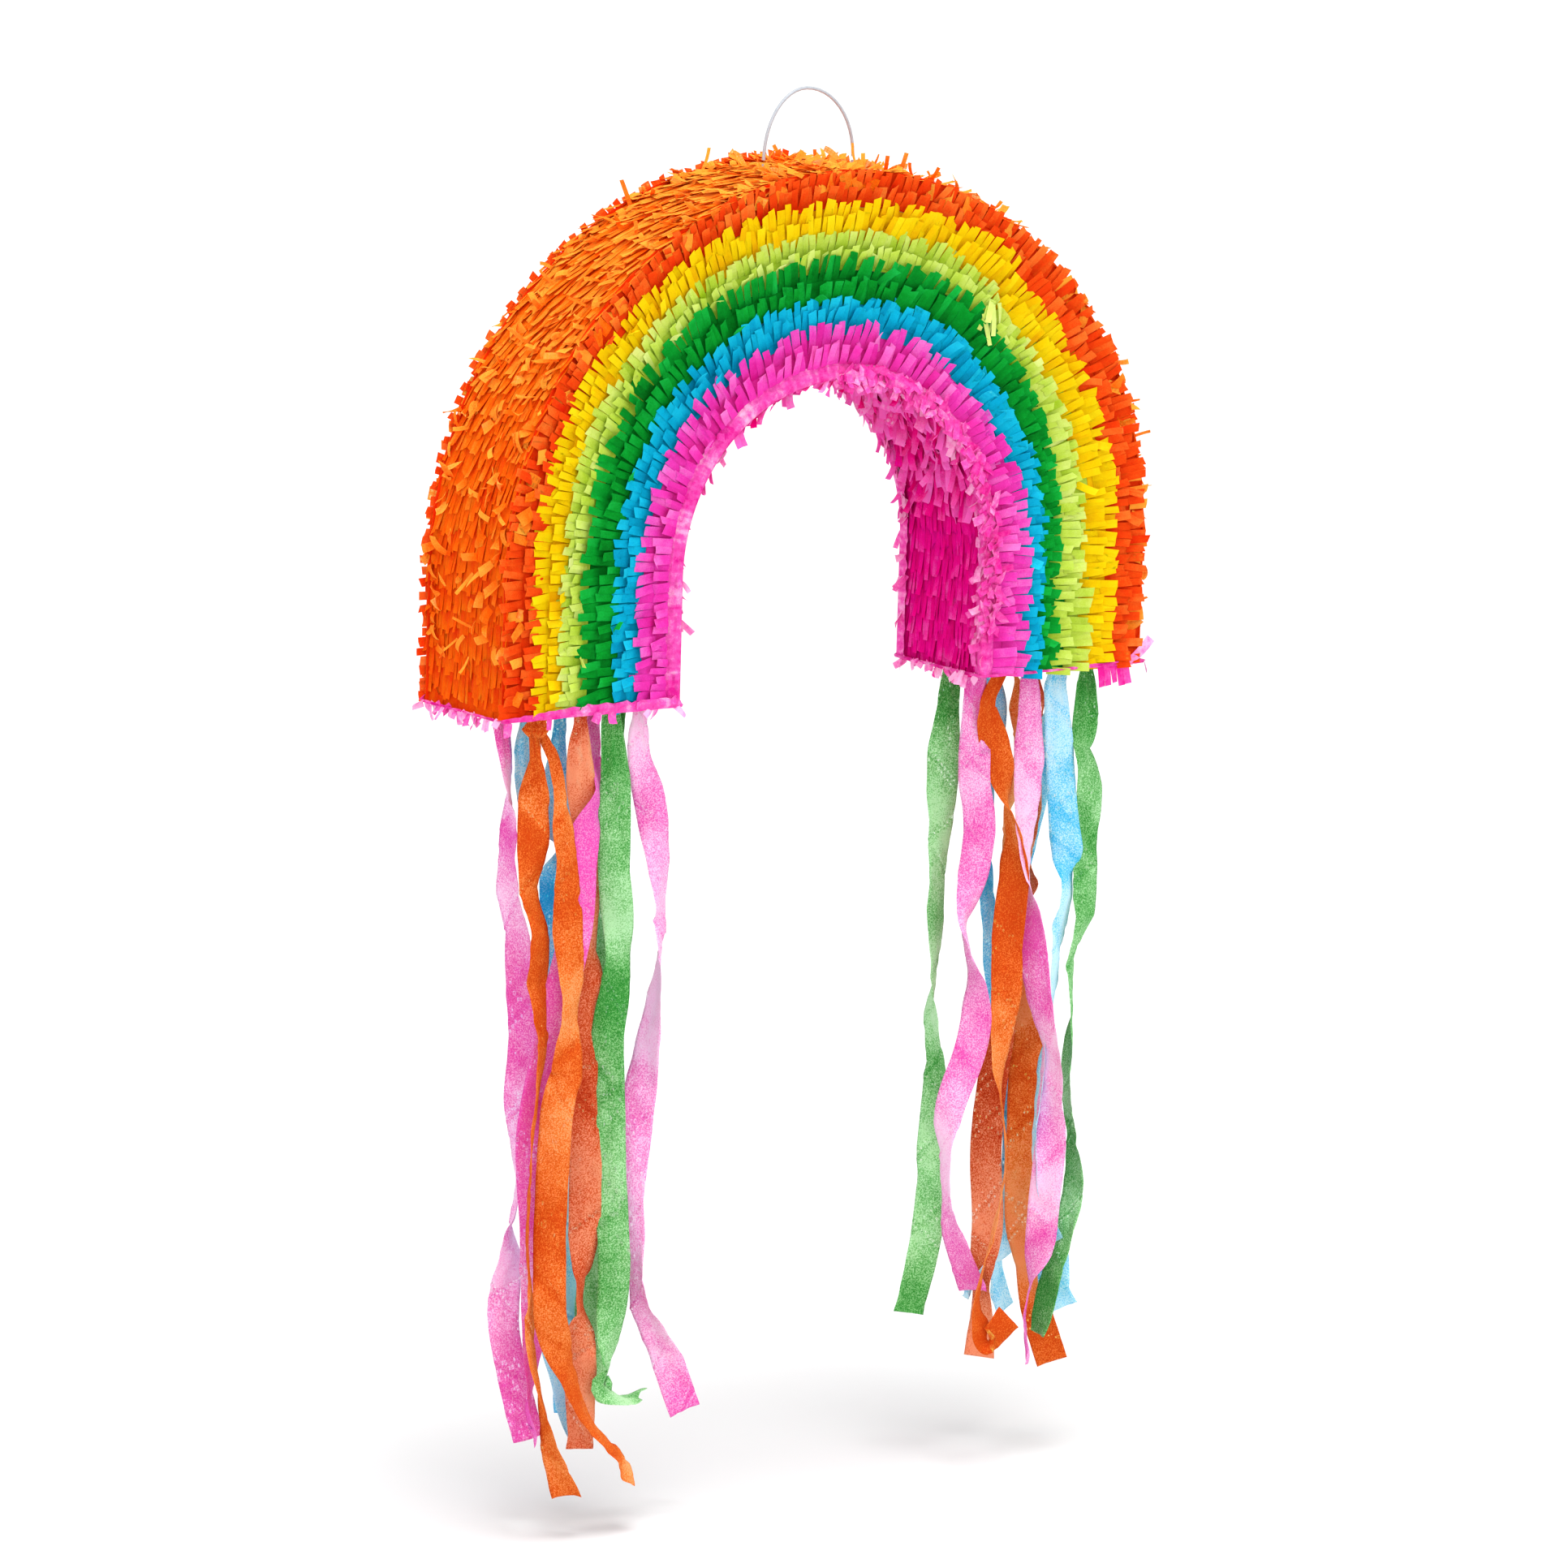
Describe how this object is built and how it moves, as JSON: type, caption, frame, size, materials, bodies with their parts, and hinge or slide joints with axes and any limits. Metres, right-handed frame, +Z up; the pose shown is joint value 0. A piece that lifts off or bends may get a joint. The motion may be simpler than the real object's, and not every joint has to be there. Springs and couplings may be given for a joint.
{
  "type": "rainbow pinata",
  "caption": "Arch-shaped rainbow pinata: hollow card shell dressed in fringed tissue bands, with a filling flap, a cord loop to hang it by and tissue streamers under both legs.",
  "frame": {"origin": "inside top of the hanging loop, where the hook or line that holds the pinata bears", "axes": "+Z up, +X towards the leg on the viewer's right, -Y the front face of the rainbow"},
  "size_m": [0.4124, 0.0762, 0.7294],
  "materials": {
    "card": "matte, unprinted",
    "cord": "smooth, slightly translucent",
    "tissue_red": "matte, fringed",
    "tissue_yellow": "matte, fringed",
    "tissue_light_green": "matte, fringed",
    "tissue_green": "matte, fringed",
    "tissue_blue": "matte, fringed",
    "tissue_pink": "matte, fringed",
    "tissue_orange": "matte, fringed",
    "tissue_magenta": "matte, fringed",
    "tissue_trim_pink": "matte, fringed",
    "streamer_pink": "matte, translucent",
    "streamer_orange": "matte, translucent",
    "streamer_terracotta": "matte, translucent",
    "streamer_blue": "matte, translucent",
    "streamer_green": "matte, translucent"
  },
  "bodies": {
    "hanger": {"hanging_cord": "cord"},
    "shell": {"front_panel": "card", "back_panel": "card", "outer_wall": "card", "inner_wall": "card", "left_base_panel": "card", "right_base_panel": "card", "front_red": "tissue_red", "front_yellow": "tissue_yellow", "front_light_green": "tissue_light_green", "front_green": "tissue_green", "front_blue": "tissue_blue", "front_pink": "tissue_pink", "front_edge_strip": "tissue_trim_pink", "back_red": "tissue_red", "back_yellow": "tissue_yellow", "back_light_green_left": "tissue_light_green", "back_light_green_right": "tissue_light_green", "back_green_left": "tissue_green", "back_green_right": "tissue_green", "back_blue": "tissue_blue", "back_pink": "tissue_pink", "back_edge_strip": "tissue_trim_pink", "outer_fringe": "tissue_orange", "inner_fringe": "tissue_magenta", "left_base_trim": "tissue_trim_pink", "right_base_trim": "tissue_trim_pink", "left_cord_knot": "cord", "right_cord_knot": "cord", "left_streamer_knot": "streamer_orange"},
    "flap": {"filling_flap": "card", "flap_tissue": "tissue_green"},
    "left_streamer_orange_1": {"left_streamer_orange_1": "streamer_orange"},
    "left_streamer_orange_2": {"left_streamer_orange_2": "streamer_orange"},
    "left_streamer_terracotta": {"left_streamer_terracotta": "streamer_terracotta"},
    "left_streamer_green_1": {"left_streamer_green_1": "streamer_green"},
    "left_streamer_pink_3": {"left_streamer_pink_3": "streamer_pink"},
    "left_streamer_pink_1": {"left_streamer_pink_1": "streamer_pink"},
    "left_streamer_blue_1": {"left_streamer_blue_1": "streamer_blue"},
    "left_streamer_blue_2": {"left_streamer_blue_2": "streamer_blue"},
    "left_streamer_pink_2": {"left_streamer_pink_2": "streamer_pink"},
    "left_streamer_green_2": {"left_streamer_green_2": "streamer_green"},
    "right_streamer_pink_1": {"right_streamer_pink_1": "streamer_pink"},
    "right_streamer_orange_1": {"right_streamer_orange_1": "streamer_orange"},
    "right_streamer_pink_2": {"right_streamer_pink_2": "streamer_pink"},
    "right_streamer_blue_1": {"right_streamer_blue_1": "streamer_blue"},
    "right_streamer_green_2": {"right_streamer_green_2": "streamer_green"},
    "right_streamer_green_1": {"right_streamer_green_1": "streamer_green"},
    "right_streamer_blue_2": {"right_streamer_blue_2": "streamer_blue"},
    "right_streamer_orange_2": {"right_streamer_orange_2": "streamer_orange"},
    "right_streamer_terracotta": {"right_streamer_terracotta": "streamer_terracotta"},
    "right_streamer_blue_3": {"right_streamer_blue_3": "streamer_blue"}
  },
  "joints": [
    {"name": "loop_fold", "type": "hinge", "parent": "hanger", "child": "shell", "pos_m": [0, 0, -0.0364], "axis": [1, 0, 0], "range_deg": [-80, 80]},
    {"name": "flap_hinge", "type": "hinge", "parent": "shell", "child": "flap", "pos_m": [0, 0.0369, -0.0667], "axis": [1, 0, 0], "range_deg": [0, 120]},
    {"name": "left_streamer_orange_1_swing", "type": "hinge", "parent": "shell", "child": "left_streamer_orange_1", "pos_m": [-0.1788, -0.022, -0.3196], "axis": [1, 0, 0], "range_deg": [-75, 0]},
    {"name": "left_streamer_orange_2_swing", "type": "hinge", "parent": "shell", "child": "left_streamer_orange_2", "pos_m": [-0.1708, -0.022, -0.3196], "axis": [1, 0, 0], "range_deg": [-75, 0]},
    {"name": "left_streamer_terracotta_swing", "type": "hinge", "parent": "shell", "child": "left_streamer_terracotta", "pos_m": [-0.1472, -0.022, -0.3103], "axis": [1, 0, 0], "range_deg": [-75, 0]},
    {"name": "left_streamer_green_1_swing", "type": "hinge", "parent": "shell", "child": "left_streamer_green_1", "pos_m": [-0.1288, -0.022, -0.3103], "axis": [1, 0, 0], "range_deg": [-75, 0]},
    {"name": "left_streamer_pink_3_swing", "type": "hinge", "parent": "shell", "child": "left_streamer_pink_3", "pos_m": [-0.1104, -0.022, -0.3103], "axis": [1, 0, 0], "range_deg": [-75, 0]},
    {"name": "left_streamer_pink_1_swing", "type": "hinge", "parent": "shell", "child": "left_streamer_pink_1", "pos_m": [-0.183, -0.002, -0.3103], "axis": [1, 0, 0], "range_deg": [0, 75]},
    {"name": "left_streamer_blue_1_swing", "type": "hinge", "parent": "shell", "child": "left_streamer_blue_1", "pos_m": [-0.1646, -0.002, -0.3103], "axis": [1, 0, 0], "range_deg": [0, 75]},
    {"name": "left_streamer_blue_2_swing", "type": "hinge", "parent": "shell", "child": "left_streamer_blue_2", "pos_m": [-0.1462, -0.002, -0.3103], "axis": [1, 0, 0], "range_deg": [0, 75]},
    {"name": "left_streamer_pink_2_swing", "type": "hinge", "parent": "shell", "child": "left_streamer_pink_2", "pos_m": [-0.1278, -0.002, -0.3103], "axis": [1, 0, 0], "range_deg": [0, 75]},
    {"name": "left_streamer_green_2_swing", "type": "hinge", "parent": "shell", "child": "left_streamer_green_2", "pos_m": [-0.1094, -0.002, -0.3103], "axis": [1, 0, 0], "range_deg": [0, 75]},
    {"name": "right_streamer_pink_1_swing", "type": "hinge", "parent": "shell", "child": "right_streamer_pink_1", "pos_m": [0.112, -0.014, -0.3103], "axis": [1, 0, 0], "range_deg": [-75, 0]},
    {"name": "right_streamer_orange_1_swing", "type": "hinge", "parent": "shell", "child": "right_streamer_orange_1", "pos_m": [0.1304, -0.014, -0.3103], "axis": [1, 0, 0], "range_deg": [-75, 0]},
    {"name": "right_streamer_pink_2_swing", "type": "hinge", "parent": "shell", "child": "right_streamer_pink_2", "pos_m": [0.1488, -0.014, -0.3103], "axis": [1, 0, 0], "range_deg": [-75, 0]},
    {"name": "right_streamer_blue_1_swing", "type": "hinge", "parent": "shell", "child": "right_streamer_blue_1", "pos_m": [0.1672, -0.014, -0.3103], "axis": [1, 0, 0], "range_deg": [-75, 0]},
    {"name": "right_streamer_green_2_swing", "type": "hinge", "parent": "shell", "child": "right_streamer_green_2", "pos_m": [0.1856, -0.014, -0.3103], "axis": [1, 0, 0], "range_deg": [-75, 0]},
    {"name": "right_streamer_green_1_swing", "type": "hinge", "parent": "shell", "child": "right_streamer_green_1", "pos_m": [0.1137, 0.01, -0.3103], "axis": [1, 0, 0], "range_deg": [0, 75]},
    {"name": "right_streamer_blue_2_swing", "type": "hinge", "parent": "shell", "child": "right_streamer_blue_2", "pos_m": [0.1321, 0.01, -0.3103], "axis": [1, 0, 0], "range_deg": [0, 75]},
    {"name": "right_streamer_orange_2_swing", "type": "hinge", "parent": "shell", "child": "right_streamer_orange_2", "pos_m": [0.1505, 0.01, -0.3103], "axis": [1, 0, 0], "range_deg": [0, 75]},
    {"name": "right_streamer_terracotta_swing", "type": "hinge", "parent": "shell", "child": "right_streamer_terracotta", "pos_m": [0.1689, 0.01, -0.3103], "axis": [1, 0, 0], "range_deg": [0, 75]},
    {"name": "right_streamer_blue_3_swing", "type": "hinge", "parent": "shell", "child": "right_streamer_blue_3", "pos_m": [0.1873, 0.01, -0.3103], "axis": [1, 0, 0], "range_deg": [0, 75]}
  ]
}
